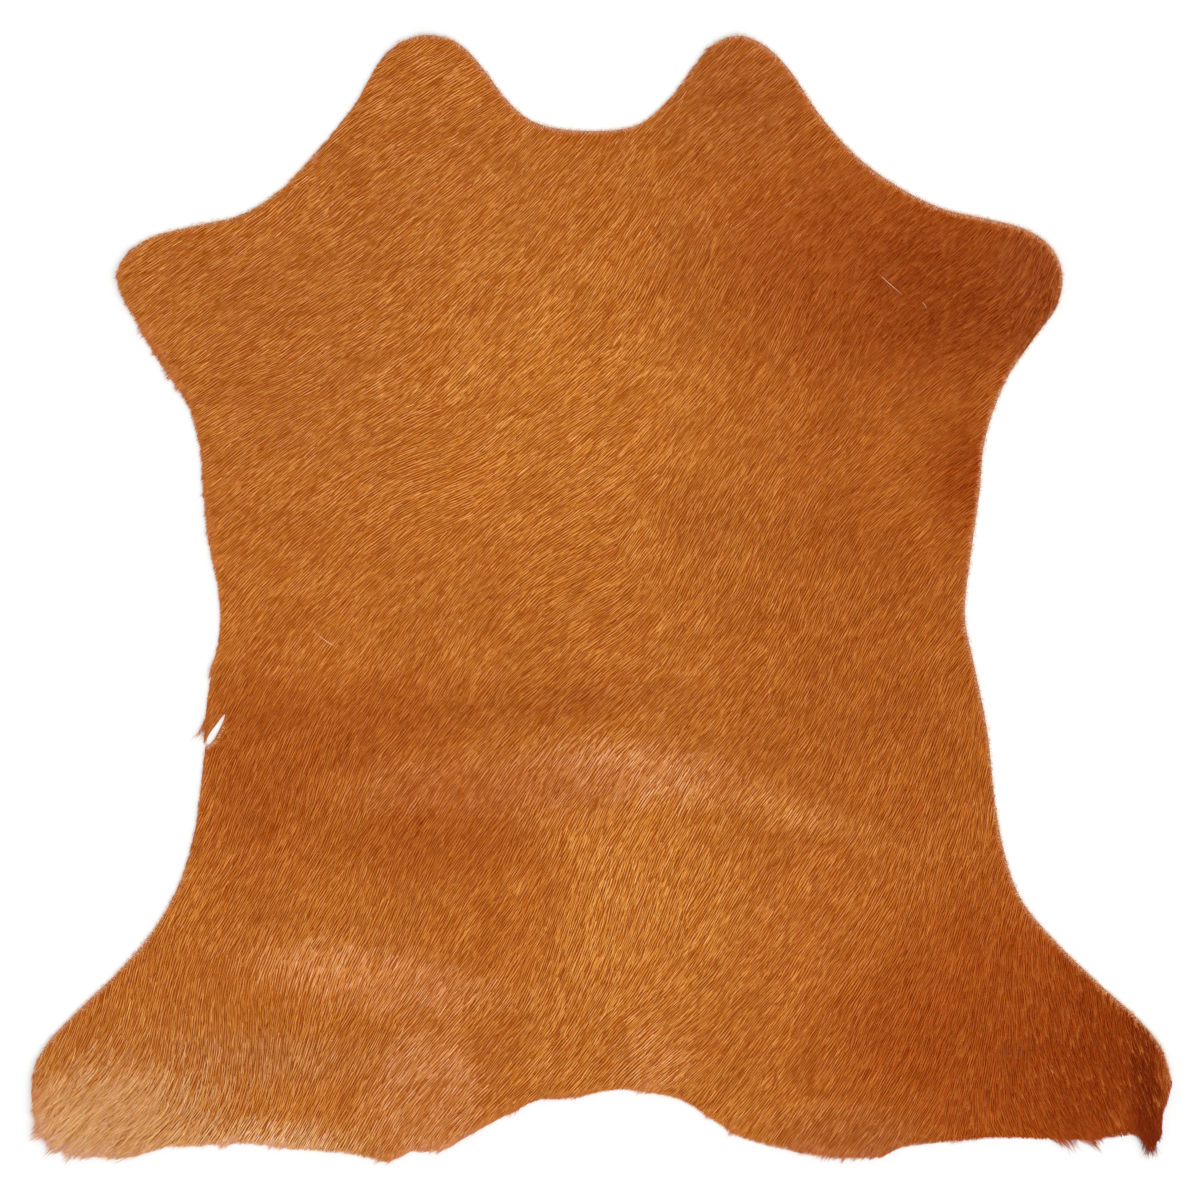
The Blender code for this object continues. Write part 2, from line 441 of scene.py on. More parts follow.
# ------------------------------------------------------------------------------------------------
# The coat
#
# Calf hair about 10 mm long that lies close to the skin, each lock here being a few hairs that
# lie together. It grows out of the grain side, and was cut with it where the knife went round.
# ------------------------------------------------------------------------------------------------
PATCH = 20 * MM  # across a patch of the coat in which the hairs lie side by side, as if combed
COMB = (1.5 * MM, 2.2 * MM)  # from one lock to the one beside it, which differs from patch to patch
ALONG = 5.0 * MM  # from one root to the next behind it
LOCK_WIDTH = 0.95  # against the comb of its patch
SINGLE_WIDTH = 0.45 * MM
SINGLE_SHARE = 0.11  # of the roots, which carry a single hair and not a lock
SINGLE_IN_SHADE = 0.3  # the share of the single hairs that look dark
TRUE_COLOUR = (0.889, 0.7, 0.15)  # of the hair, against how it looks with the sheen on it
SHEEN = (1.64, 2.85, 12.5)  # what the light on a lock's ridge makes of its red, green and blue
SINGLE_SHEEN = (1.75, 3.4, 15.0)
SHADE = (0.62, 0.08, 0.0)  # and the shade between two locks
SINGLE_SHADE = (0.68, 0.36, 0.1)
CONTRAST = (0.93, 1.07)  # how strongly the two show, which differs from patch to patch
RIDGE = 0.15  # how high a lock's ridge stands, against its width
ROOT_DEPTH = 0.2 * MM  # of the roots under the grain side
LOCK_RISE, SINGLE_RISE, RISE_LIMITS = 1.1, 1.6, (0.4, 2.4)  # millimetres, of the tips over the skin
BRIGHTEST = 0.95  # the most light that any hair gives back
SHORTEST = 1.5 * MM  # a lock that the knife leaves shorter than this is left out

# What chance adds: shifts of the patches against their size, and of the roots against the distance
# between them, turns and bends in degrees, and ranges by which things are multiplied
PATCH_SHIFT, ASIDE_SHIFT, ALONG_SHIFT = 0.45, 0.11, 0.4
PATCH_TURN, LOCK_TURN, SINGLE_TURN = 3, 1.5, 9
PATCH_BEND, LOCK_BEND, SINGLE_BEND = 5, 2, 12
PATCH_MIX = 1.3 * MM  # how far the locks of two patches mix where they meet
SINGLE_STRAY = 1.2 * MM  # how far the single hairs stand off their line
LENGTHS, WIDTHS, SHINES = (0.75, 1.2), (0.85, 1.15), (0.85, 1.15)
RISE_SPREAD = 0.2  # millimetres
TONE_SPREAD = 0.02
RAGGED_SIZE = 5 * MM  # along the cut, from one uneven end of the coat to the next

# The colours of the coat on the 0 to 255 scale, and the patches where it differs: x, y and reaches
# in millimetres, the turn of the patch in degrees, and how much it counts against the base.
COAT_BASE, BASE_WEIGHT = (183, 101, 39), 0.6
Patch = namedtuple("Patch", "place x y reach_x reach_y turn weight colour")
PATCHES = (
    Patch("left of the neck and shoulder", -240, 270, 190, 130, 30, 2, (177, 98, 42)),
    Patch("right neck flap", 112, 424, 46, 46, 0, 4, (163, 83, 35)),
    Patch("back, brightest", -50, 180, 90, 110, 40, 2, (195, 114, 46)),
    Patch("lower rump, brightest", 30, -240, 60, 75, 0, 3, (198, 117, 49)),
    Patch("right side", 250, 0, 95, 220, 0, 2, (167, 82, 27)),
    Patch("parting over the right shoulder", 180, 240, 12, 130, 3, 1.6, (158, 72, 22)),
    Patch("right shoulder", 262, 262, 110, 65, -10, 4, (149, 61, 18)),
    Patch("right shoulder, darkest", 282, 246, 46, 42, -20, 7, (126, 44, 6)),
    Patch("right foreleg's end", 350, 268, 30, 50, 0, 4, (139, 60, 30)),
    Patch("spot on the right flank", 298, 102, 22, 32, 0, 6, (139, 50, 6)),
    Patch("inside the right thigh", 196, -244, 50, 60, 0, 2, (189, 104, 42)),
    Patch("right hind leg", 326, -340, 92, 78, -20, 5, (156, 62, 12)),
    Patch("right hind leg's end", 390, -362, 52, 56, 0, 7, (128, 40, 0)),
    # The right hind leg's dark streak is painted shade and its outer edge painted light, as on a raised
    # edge
    Patch("right hind leg's dark streak", 433, -388, 9, 46, 5, 12, (98, 24, 0)),
    Patch("right hind leg's outer edge", 457, -372, 9, 34, 0, 8, (172, 86, 38)),
    Patch("left hind leg", -402, -392, 85, 42, 12, 4, (186, 111, 54)),
    Patch("left hind leg's fringe", -436, -430, 48, 22, 0, 8, (199, 146, 107)),
    Patch("left hind leg, below", -290, -434, 60, 14, 0, 8, (206, 143, 97)),
    Patch("left hind leg, dull", -282, -362, 60, 14, 0, 3, (183, 112, 64)),
    # The pale fold on the loin is partly painted light on the fold, and the shade above it painted
    # shade
    Patch("pale fold on the loin, left", -138, -146, 45, 16, 0, 2, (183, 102, 54)),
    Patch("pale fold on the loin", -50, -146, 70, 17, 4, 4, (192, 111, 61)),
    Patch("pale fold on the loin, middle", 30, -136, 50, 15, -6, 5, (211, 140, 97)),
    Patch("pale fold on the loin, right", 130, -158, 75, 9, -16, 4, (198, 120, 60)),
    Patch("shade above the fold", -50, -80, 90, 10, 6, 4, (168, 86, 31)),
    Patch("left side, reddish", -194, -98, 60, 24, 10, 4, (164, 77, 24)),
    Patch("left thigh, reddish", -268, -134, 40, 60, 0, 3, (164, 76, 23)),
    Patch("inside the left thigh, reddish", -126, -186, 46, 26, 0, 5, (165, 78, 24)),
    Patch("above the tail, left", -76, -250, 40, 44, 0, 2, (181, 95, 33)),
    Patch("bare-looking patch, left thigh", -182, -298, 60, 14, -8, 7, (206, 131, 82)),
    Patch("bare-looking patch, left buttock", -138, -394, 28, 30, 0, 6, (206, 134, 89)),
    Patch("bare-looking patch, tail", 46, -370, 20, 28, 0, 4, (197, 119, 62)),
    Patch("right buttock's edge", 206, -426, 40, 16, 0, 4, (176, 97, 49)),
    Patch("mottle on the withers", 78, 262, 26, 30, 0, 2, (168, 86, 31)),
    Patch("mottle on the right ribs", 94, 70, 30, 24, 0, 2, (170, 88, 32)),
)
MOTTLE_SIZE = 26 * MM
MOTTLE = (0.06, 0.1, 0.16)  # how much the red, green and blue differ by chance over the coat

# Where the hair lies smoother, so that the painted sheen and shade of its locks show less: places and
# reaches in millimetres
Smooth = namedtuple("Smooth", "place x y reach_x reach_y share")
SMOOTH = (
    Smooth("left hind leg", -410, -420, 75, 75, 0.4),
    Smooth("left thigh, low", -290, -306, 60, 40, 0.3),
    Smooth("bare-looking patch, left thigh", -182, -298, 64, 22, 0.5),
    Smooth("bare-looking patch, left buttock", -138, -394, 40, 40, 0.6),
    Smooth("pale fold on the loin, left", -100, -146, 60, 18, 0.4),
    Smooth("pale fold on the loin, middle", 20, -138, 64, 18, 0.4),
)


LATTICE, LATTICE_START = 256, 100.5  # its corners each way, and where on it the hide's middle is


def mottle(x, y, size, seed):
    """Soft random patches of about a size, from -1 to 1."""
    lattice = np.random.default_rng(seed).uniform(-1, 1, (LATTICE, LATTICE))
    across, up = x / size + LATTICE_START, y / size + LATTICE_START
    column, row = np.floor(across).astype(int), np.floor(up).astype(int)
    u, v = across - column, up - row
    u, v = u * u * (3 - 2 * u), v * v * (3 - 2 * v)
    return between(lattice, column % (LATTICE - 1), row % (LATTICE - 1), u, v)


def coat_colour(x, y):
    """The colour of the coat at points in metres, linear."""
    total = np.full_like(x, BASE_WEIGHT)
    colour = np.outer(total, COAT_BASE)
    for patch in PATCHES:
        turn = math.radians(patch.turn)
        dx, dy = x / MM - patch.x, y / MM - patch.y
        along = (dx * math.cos(turn) + dy * math.sin(turn)) / patch.reach_x
        aside = (dy * math.cos(turn) - dx * math.sin(turn)) / patch.reach_y
        pull = patch.weight * np.exp(-(along**2 + aside**2))
        total += pull
        colour += np.outer(pull, patch.colour)
    patchy = 1 + np.outer(mottle(x, y, MOTTLE_SIZE, seed=21), MOTTLE)
    return linear(colour / total[:, None]) * patchy


# How far along a lock each of its stations is, and how wide the lock is there. It has a left side, a
# ridge and a right side at each but the last, which is its tip.
LOCK = ((0.0, 1.0), (0.4, 0.78), (1.0, 0.0))
UV_SIDE, UV_ROOT, UV_LENGTH = 0.4, 0.08, 0.84  # where a lock lies in its own cell of the UV map


def locks(name, x, y, heading, length, width, bend, rise, dark, light, stations=LOCK):
    """A piece of tapered locks, each a low roof with a ridge along it, from one value for each lock."""
    per_lock = 3 * len(stations) - 2
    faces = []
    for left in range(0, per_lock - 4, 3):
        ridge, right = left + 1, left + 2
        faces += [(left, ridge, ridge + 3), (left, ridge + 3, left + 3)]
        faces += [(right, right + 3, ridge + 3), (right, ridge + 3, ridge)]
    left, ridge, right, tip = range(per_lock - 4, per_lock)
    faces += [(left, ridge, tip), (right, tip, ridge)]

    # The locks in rows from the neck down, so that neighbours also have neighbouring cells
    order = np.argsort(-y, kind="stable")
    per_row = math.ceil(math.sqrt(len(x)))
    band = np.empty(len(x), int)
    band[order] = np.arange(len(x)) // per_row
    order = np.lexsort((x, band))
    x, y, heading, length, width, bend, rise, dark, light = (
        a[order] for a in (x, y, heading, length, width, bend, rise, dark, light)
    )
    count = len(x)
    points = np.zeros((count, per_lock, 3))
    colours = np.ones((count, per_lock, 4))
    uv = np.zeros((count, per_lock, 2))
    cell = np.stack([np.arange(count) % per_row, np.arange(count) // per_row], 1)
    along_x, along_y, before, at = x, y, 0.0, 0
    for share, wide in stations:
        way = heading + bend * ((share + before) / 2 - 0.5)
        along_x = along_x + length * (share - before) * np.cos(way)
        along_y = along_y + length * (share - before) * np.sin(way)
        height = read(height_grid, along_x, along_y) + rise * math.sin(math.pi / 2 * share)
        height = height - ROOT_DEPTH * (share == 0)
        half = width / 2 * wide
        for hand in (1, 0, -1) if wide else (0,):
            points[:, at, 0] = along_x - hand * half * np.sin(way)
            points[:, at, 1] = along_y + hand * half * np.cos(way)
            points[:, at, 2] = height + (0 if hand else 2 * RIDGE * half)
            # The sides take the dark colour, a painted shade, and the ridge the light one, a painted
            # sheen
            colours[:, at, :3] = dark if hand else light
            uv[:, at] = (cell + (0.5 + UV_SIDE * hand, UV_ROOT + UV_LENGTH * share)) / per_row
            at += 1
        before = share
    corners = (np.array(faces)[None] + per_lock * np.arange(count)[:, None, None]).reshape(-1)

    mesh = bpy.data.meshes.new(name)
    mesh.vertices.add(count * per_lock)
    mesh.vertices.foreach_set("co", points.reshape(-1))
    mesh.loops.add(len(corners))
    mesh.loops.foreach_set("vertex_index", corners)
    mesh.polygons.add(len(corners) // 3)
    mesh.polygons.foreach_set("loop_start", np.arange(0, len(corners), 3))
    mesh.update(calc_edges=True)
    tint = mesh.attributes.new("hair colour", "FLOAT_COLOR", "POINT")
    tint.data.foreach_set("color", colours.reshape(-1))
    layer = mesh.uv_layers.new(name="OFBake")
    layer.uv.foreach_set("vector", uv.reshape(-1, 2)[corners].reshape(-1))
    piece = bpy.data.objects.new(name, mesh)
    bpy.context.collection.objects.link(piece)
    return piece


# The hair's colour is in its mesh, with a painted sheen on the ridge of each lock and a painted
# shade on its sides. Fine fibres run along each lock, the palest partly a painted highlight
hair, shader, link = new_material("calf hair")
tint = add_node(hair, "ShaderNodeAttribute", attribute_name="hair colour")
place = add_node(hair, "ShaderNodeTexCoord")
drawn = add_node(hair, "ShaderNodeMapping", Scale=(280, 60, 1))
fibres = add_node(hair, "ShaderNodeTexNoise", Scale=1.0, Detail=1.0, Roughness=0.5)
tone = ramp(hair, (0.3, (0.7, 0.46, 0.0)), (0.5, (0.98, 0.94, 0.75)), (0.7, (1.32, 1.64, 3.0)))
shaded = add_node(hair, "ShaderNodeMix", data_type="RGBA", blend_type="MULTIPLY")
shaded.inputs[0].default_value = 1.0
link(place.outputs["UV"], drawn.inputs["Vector"])
link(drawn.outputs["Vector"], fibres.inputs["Vector"])
link(fibres.outputs["Fac"], tone.inputs["Fac"])
link(tint.outputs["Color"], shaded.inputs[6])
link(tone.outputs["Color"], shaded.inputs[7])
link(shaded.outputs[2], shader.inputs["Base Color"])
shader.inputs["Roughness"].default_value = 0.45
shader.inputs["Specular IOR Level"].default_value = 0.02


def add_to_coat(piece):
    """Gives a piece of the coat its material and ties it to the frame."""
    piece.data.materials.append(hair)
    tie_to_frame(piece)


TRIM_STEPS = 20


def trimmed(x, y, heading, length, past):
    """The length of each lock once the knife has passed outside the hide's outline."""
    kept = np.zeros_like(length)
    inside = np.ones(len(length), bool)
    for share in np.linspace(1 / TRIM_STEPS, 1, TRIM_STEPS):
        reach = length * share
        inside &= read(gap_grid, x + reach * np.cos(heading), y + reach * np.sin(heading)) > -past
        kept = np.where(inside, length * share, kept)
    return kept


# The middles of the patches, on a grid put out of line, and which way the hair of each lies
rng = np.random.default_rng(4)
across = np.arange(cad_box[0][0] - PATCH, cad_box[1][0] + PATCH, PATCH)
up = np.arange(cad_box[0][1] - PATCH, cad_box[1][1] + PATCH, PATCH)
patch_x, patch_y = (a.ravel() for a in np.meshgrid(across, up))
patch_x = patch_x + rng.uniform(-PATCH_SHIFT, PATCH_SHIFT, len(patch_x)) * PATCH
patch_y = patch_y + rng.uniform(-PATCH_SHIFT, PATCH_SHIFT, len(patch_y)) * PATCH
patch_heading = heading_at(patch_x, patch_y)
patch_heading = patch_heading + rng.normal(0, math.radians(PATCH_TURN), len(patch_x))
middles = KDTree(len(patch_x))
for index, at in enumerate(zip(patch_x, patch_y)):
    middles.insert((*at, 0), index)
middles.balance()

# The roots, on lines along the hair of their patch
roots = []
for index, turn in enumerate(patch_heading):
    comb = rng.uniform(*COMB)
    aside, behind = np.meshgrid(np.arange(-PATCH, PATCH, comb), np.arange(-PATCH, PATCH, ALONG))
    aside = aside + rng.normal(0, ASIDE_SHIFT, aside.shape) * comb
    behind = behind + rng.uniform(0, 1, aside.shape[1]) * ALONG
    behind = behind + rng.uniform(-ALONG_SHIFT, ALONG_SHIFT, aside.shape) * ALONG
    x = patch_x[index] + behind * math.cos(turn) - aside * math.sin(turn)
    y = patch_y[index] + behind * math.sin(turn) + aside * math.cos(turn)
    near = read(gap_grid, x, y) > BARE_RIM
    x, y = x[near], y[near]
    astray = rng.normal(0, PATCH_MIX, (2, len(x)))
    own = [middles.find((*at, 0))[1] == index for at in zip(x + astray[0], y + astray[1])]
    whole_patch = (turn, comb, rng.uniform(*CONTRAST), rng.normal(0, math.radians(PATCH_BEND)))
    roots.append(np.stack([x, y, *(np.full(len(x), value) for value in whole_patch)])[:, own])
root_x, root_y, heading, comb, contrast, bend = np.concatenate(roots, axis=1)
count = len(root_x)

# Some hairs in each patch are single ones, which lie finer, higher and less straight than the rest
single = rng.uniform(0, 1, count) < SINGLE_SHARE
heading = heading + rng.normal(0, 1, count) * np.radians(np.where(single, SINGLE_TURN, LOCK_TURN))
astray = np.where(single, SINGLE_STRAY, 0.0) * rng.normal(0, 1, (2, count))
root_x, root_y = root_x + astray[0], root_y + astray[1]
length = by_place(root_x, root_y, "length") * rng.uniform(*LENGTHS, count)
past = by_place(root_x, root_y, "past")
past += by_place(root_x, root_y, "ragged") * mottle(root_x, root_y, RAGGED_SIZE, seed=3)
length = trimmed(root_x, root_y, heading, length, past)
width = np.where(single, SINGLE_WIDTH, LOCK_WIDTH * comb) * rng.uniform(*WIDTHS, count)
bend = bend + rng.normal(0, 1, count) * np.radians(np.where(single, SINGLE_BEND, LOCK_BEND))
rise = np.where(single, SINGLE_RISE, LOCK_RISE) + rng.normal(0, RISE_SPREAD, count)
rise = rise.clip(*RISE_LIMITS) * MM
base = coat_colour(root_x, root_y) * TRUE_COLOUR
base = base * np.exp(rng.normal(0, TONE_SPREAD, count))[:, None]
for smooth in SMOOTH:
    off_x = (root_x / MM - smooth.x) / smooth.reach_x
    off_y = (root_y / MM - smooth.y) / smooth.reach_y
    contrast = contrast * (1 - smooth.share * np.exp(-(off_x**2 + off_y**2)))
shine = (contrast * rng.uniform(*SHINES, count))[:, None]
sheen = np.where(single[:, None], SINGLE_SHEEN, SHEEN)
light = np.clip(base * (1 + (sheen - 1) * shine), 0, BRIGHTEST)
in_shade = single & (rng.uniform(0, 1, count) < SINGLE_IN_SHADE)
light[in_shade] = base[in_shade] * SINGLE_SHADE
dark = base * (1 - (1 - np.array(SHADE)) * np.minimum(contrast, 1)[:, None])
dark[single] = light[single]

# The coat in bands from the neck down, so that each stays a mesh of a handy size
BANDS = (
    ("coat_neck_and_forelegs", 175, 500),
    ("coat_shoulders_and_back", 20, 175),
    ("coat_loin", -145, 20),
    ("coat_rump", -295, -145),
    ("coat_hind_legs", -500, -295),
)
for name, lowest, highest in BANDS:
    here = (root_y > lowest * MM) & (root_y <= highest * MM) & (length > SHORTEST)
    add_to_coat(locks(
        name, root_x[here], root_y[here], heading[here], length[here], width[here],
        bend[here], rise[here], dark[here], light[here],
    ))


# ------------------------------------------------------------------------------------------------
# The hair along the cut
#
# Where the coat points out over the cut, its finest hairs fill in between the tips of the locks.
# Where it points inwards, the fibre of the cut skin stands out as a pale fuzz.
# ------------------------------------------------------------------------------------------------
RIM_STEP = 0.22 * MM  # from one hair or fibre to the next along the cut
FOLLOWS = (0.1, 0.4)  # how squarely the cut must face the way of the hair, for it to point out there

# The finest hairs of the coat: their lengths and widths, their tips past the locks and their rise
# (both in millimetres), how uneven the tips are against the locks, and the colours of ridge and
# sides, a painted sheen and a painted shade, against how the coat looks there
RIM_HAIR, RIM_HAIR_WIDTH = (4 * MM, 6.5 * MM), 0.45 * MM
RIM_PAST, RIM_RISE = (-1.0, 0.3), (0.9, 1.5)
RIM_RAGGED, RIM_RAGGED_SIZE = 0.7, 4 * MM
RIM_LIGHT, RIM_DARK = (1.25, 1.45, 1.9), (0.88, 0.76, 0.6)

# The fuzz: its lengths and widths, its tips past the outline and its rise (both in millimetres),
# its colours from the innermost fibres to the outermost, and the painted shade on the sides of a fibre
FUZZ, FUZZ_WIDTH = (2.6 * MM, 4.6 * MM), 0.36 * MM
FUZZ_PAST, FUZZ_RISE = (-2.2, 1.9), (0.3, 1.1)
FUZZ_INNER, FUZZ_OUTER, FUZZ_SHADE = (196, 118, 62), (240, 200, 164), 0.85

# What chance adds, with turns and bends in degrees
RIM_TURN, FUZZ_TURN, RIM_BEND = 7, 28, 14
RIM_WIDTHS, RIM_TONE_SPREAD = (0.8, 1.2), 0.12

distance = np.append(0, np.cumsum(np.hypot(*(np.roll(outline, -1, 0) - outline).T)))
stops = np.arange(0, distance[-1], RIM_STEP)
stops = stops + rng.uniform(0, 1, len(stops)) * RIM_STEP
rim_x, rim_y, out_x, out_y = (
    np.interp(stops, distance, np.append(a, a[0])) for a in (*outline.T, *outwards.T)
)
count = len(stops)
heading = heading_at(rim_x, rim_y)
follows = out_x * np.cos(heading) + out_y * np.sin(heading) > rng.uniform(*FOLLOWS, count)
slanted = np.arctan2(out_y, out_x) + rng.normal(0, math.radians(FUZZ_TURN), count)
combed = heading + rng.normal(0, math.radians(RIM_TURN), count)
heading = np.where(follows, combed, slanted)
past = by_place(rim_x, rim_y, "past") + rng.uniform(*RIM_PAST, count) * MM
ragged = RIM_RAGGED * by_place(rim_x, rim_y, "ragged")
past += ragged * mottle(rim_x, rim_y, RIM_RAGGED_SIZE, seed=5)
room = np.clip(np.hypot(rim_x - NICK.x, rim_y - NICK.y) / NICK_REACH, 0, 1) ** 2
outer = rng.uniform(0, 1, count)
fuzz_past = (FUZZ_PAST[0] + (FUZZ_PAST[1] - FUZZ_PAST[0]) * outer) * MM * room
past = np.where(follows, past, fuzz_past)
length = np.where(follows, rng.uniform(*RIM_HAIR, count), rng.uniform(*FUZZ, count))
root_x = rim_x + out_x * past - np.cos(heading) * length
root_y = rim_y + out_y * past - np.sin(heading) * length
width = np.where(follows, RIM_HAIR_WIDTH, FUZZ_WIDTH) * rng.uniform(*RIM_WIDTHS, count)
bend = rng.normal(0, math.radians(RIM_BEND), count)
rise = np.where(follows, rng.uniform(*RIM_RISE, count), rng.uniform(*FUZZ_RISE, count)) * MM
own = coat_colour(root_x, root_y)
fuzz = np.outer(1 - outer, linear(FUZZ_INNER)) + np.outer(outer, linear(FUZZ_OUTER))
light = np.where(follows[:, None], own * RIM_LIGHT, fuzz)
light = np.clip(light * np.exp(rng.normal(0, RIM_TONE_SPREAD, count))[:, None], 0, BRIGHTEST)
dark = np.where(follows[:, None], own * RIM_DARK, FUZZ_SHADE * light)
add_to_coat(locks("coat_edge", root_x, root_y, heading, length, width, bend, rise, dark, light))


# ------------------------------------------------------------------------------------------------
# The tufts
#
# Longer hair that the knife left along the cut, in wisps, soft fringes and one thick tuft at the
# end of the right hind leg. It is the coat's own hair, with a painted sheen along each hair that
# makes it look a little paler.
# ------------------------------------------------------------------------------------------------
# Places on the cut and reaches along it in millimetres, headings and fans in degrees, and then the
# length of the hair and how far it passes the outline, in millimetres
Tuft = namedtuple("Tuft", "place x y reach count heading fan length past")
TUFTS = (
    Tuft("left neck flap", -191, 409, 4, 26, 222, 10, 10, 3.0),
    Tuft("right neck flap", 80, 437, 3, 14, 208, 10, 9, 2.2),
    Tuft("left foreleg's tip", -387, 260, 5, 26, 222, 10, 11, 3.0),
    Tuft("left foreleg, behind", -366, 213, 5, 30, 228, 10, 13, 4.5),
    Tuft("left foreleg's fringe", -350, 184, 24, 260, 226, 10, 12, 3.4),
    Tuft("left flank, wisp", -321, 83, 4, 22, 228, 10, 10, 3.2),
    Tuft("left flank, soft", -316, 48, 18, 150, 215, 14, 9, 2.0),
    Tuft("above the nick", -311, -56, 5, 60, 236, 8, 14, 8.5),
    Tuft("nick, outer side", -320, -99, 5, 30, 234, 8, 14, 4.5),
    Tuft("nick, bridge", -316, -113, 2.2, 70, 250, 5, 12, 7.0),
    Tuft("nick, wisps", -320, -102, 4, 44, 236, 8, 20, 16.0),
    Tuft("left hind leg's fringe", -434, -432, 26, 620, 221, 11, 18, 9.0),
    Tuft("left hind leg, below", -395, -446, 24, 260, 226, 12, 14, 4.2),
    Tuft("left hind leg, wisp", -302, -440, 4, 50, 233, 10, 14, 7.0),
    Tuft("left hind leg, second wisp", -262, -441, 4, 40, 236, 10, 12, 5.0),
    Tuft("left buttock", -172, -449, 9, 110, 236, 10, 13, 5.5),
    Tuft("left of the tail, fringe", -112, -434, 26, 300, 226, 10, 14, 4.2),
    Tuft("left of the tail, wisp", -70, -413, 6, 90, 228, 10, 14, 6.5),
    Tuft("left of the tail, curl", -30, -402, 16, 150, 226, 10, 13, 3.8),
    Tuft("tail, wisp", 32, -398, 5, 60, 232, 10, 13, 5.0),
    Tuft("right of the tail, notch", 81, -419, 4, 34, 232, 10, 12, 3.8),
    Tuft("right of the tail, second notch", 103, -431, 4, 28, 232, 10, 12, 3.2),
    Tuft("right buttock's fringe", 192, -449, 30, 300, 232, 10, 14, 4.4),
    Tuft("right buttock, wisp", 288, -437, 10, 60, 236, 10, 12, 3.2),
    Tuft("right hind leg's lower edge", 370, -434, 7, 90, 308, 9, 19, 11.5),
    Tuft("right hind leg's lower edge, end", 391, -434, 6, 70, 312, 9, 19, 11.5),
    Tuft("right hind leg's tuft", 435, -438, 9, 420, 272, 15, 24, 10.0),
    Tuft("right hind leg's tuft, outer side", 446, -431, 6, 160, 286, 12, 16, 5.5),
)
FACING = 0.18  # how squarely the cut faces the way a tuft points, for its hairs to start there
TUFT_END = 1.5  # how far from its middle a tuft ends, against its reach
TUFT_WIDTH, TUFT_RISE = 0.5 * MM, (1.0, 2.2)  # the rise in millimetres
# Each hair's ridge carries a painted sheen, and its sides the coat's colour
TUFT_LIGHT, TUFT_DARK = (1.4, 1.65, 2.2), (1.0, 1.0, 1.0)  # against how the coat looks there
LONG_LOCK = ((0.0, 1.0), (0.35, 1.0), (0.7, 0.7), (1.0, 0.0))

# How far past the outline each hair of a tuft reaches, as a share of the tuft's own figure: by
# chance, in clumps that have a mean, a spread and limits, and less towards the tuft's ends
TIPS = (0.2, 1.25)
CLUMP_SIZE, CLUMP_MEAN, CLUMP_SPREAD, CLUMP_LIMITS = 2.5 * MM, 0.75, 0.7, (0.2, 1.2)
TAPER_FROM, TAPER_LIMITS = 1.7, (0.2, 1)

# What else chance adds, with bends in degrees
TUFT_LENGTHS, TUFT_WIDTHS, TUFT_BEND, TUFT_TONE_SPREAD = (0.7, 1.15), (0.7, 1.2), 16, 0.2

tufts = []
for tuft in TUFTS:
    apart = np.hypot(rim_x / MM - tuft.x, rim_y / MM - tuft.y) / tuft.reach
    way = math.radians(tuft.heading)
    facing = out_x * math.cos(way) + out_y * math.sin(way) > FACING
    here = rng.choice(np.flatnonzero((apart < TUFT_END) & facing), tuft.count)
    heading = way + rng.normal(0, math.radians(tuft.fan), tuft.count)
    length = tuft.length * MM * rng.uniform(*TUFT_LENGTHS, tuft.count)
    clump = CLUMP_MEAN + CLUMP_SPREAD * mottle(rim_x[here], rim_y[here], CLUMP_SIZE, seed=8)
    clump = np.clip(clump, *CLUMP_LIMITS)
    taper = np.clip(TAPER_FROM - apart[here], *TAPER_LIMITS)
    past = tuft.past * MM * rng.uniform(*TIPS, tuft.count) * clump * taper
    tip_x, tip_y = rim_x[here] + np.cos(heading) * past, rim_y[here] + np.sin(heading) * past
    tufts.append(np.stack([
        tip_x - np.cos(heading) * length, tip_y - np.sin(heading) * length, heading, length,
    ]))
tufts = np.concatenate(tufts, axis=1)
root_x, root_y, heading, length = tufts[:, read(gap_grid, tufts[0], tufts[1]) > BARE_RIM]
count = len(root_x)
width = TUFT_WIDTH * rng.uniform(*TUFT_WIDTHS, count)
bend = rng.normal(0, math.radians(TUFT_BEND), count)
rise = rng.uniform(*TUFT_RISE, count) * MM
own = coat_colour(root_x, root_y)
light = own * TUFT_LIGHT * np.exp(rng.normal(0, TUFT_TONE_SPREAD, count))[:, None]
light = np.clip(light, 0, BRIGHTEST)
dark = own * TUFT_DARK
add_to_coat(locks(
    "coat_tufts", root_x, root_y, heading, length, width, bend, rise, dark, light, LONG_LOCK,
))


# ------------------------------------------------------------------------------------------------
# The long hair of the left hind leg
#
# Fine pale hair twice as long as the rest, that hangs down the leg and then sweeps outwards. It
# grows out of the grain side like the coat around it, and the knife cut it together with the skin.
# ------------------------------------------------------------------------------------------------
LONG_HAIRS = 1300
LONG_MIDDLE, LONG_REACH = (-386, -400), (40, 18)  # of their roots, in millimetres
LONG_ROOM = 3 * MM  # from the outline in to the nearest root
LONG_LENGTH, LONG_SHORTEST, LONG_WIDTH = (16 * MM, 28 * MM), 6 * MM, 0.6 * MM
LONG_PAST, LONG_RISE = (-1, 2.5), (1.6, 2.6)  # millimetres, past the coat's tips and over the skin
LONG_BEND = math.radians(-34)
KNIFE_TURN = math.radians(-8)  # the trim is measured this much nearer to where the tips point
STRAND_SIZE, STRAND_TURN = 9 * MM, math.radians(12)
LONG_COLOUR, PALE_SHARE = (240, 186, 130), (0.25, 1)  # and how much of it each hair has

# What chance adds, with turns and bends in degrees
LONG_TURN, LONG_BEND_SPREAD, LONG_WIDTHS, LONG_TONE_SPREAD = 4, 10, (0.7, 1.2), 0.2

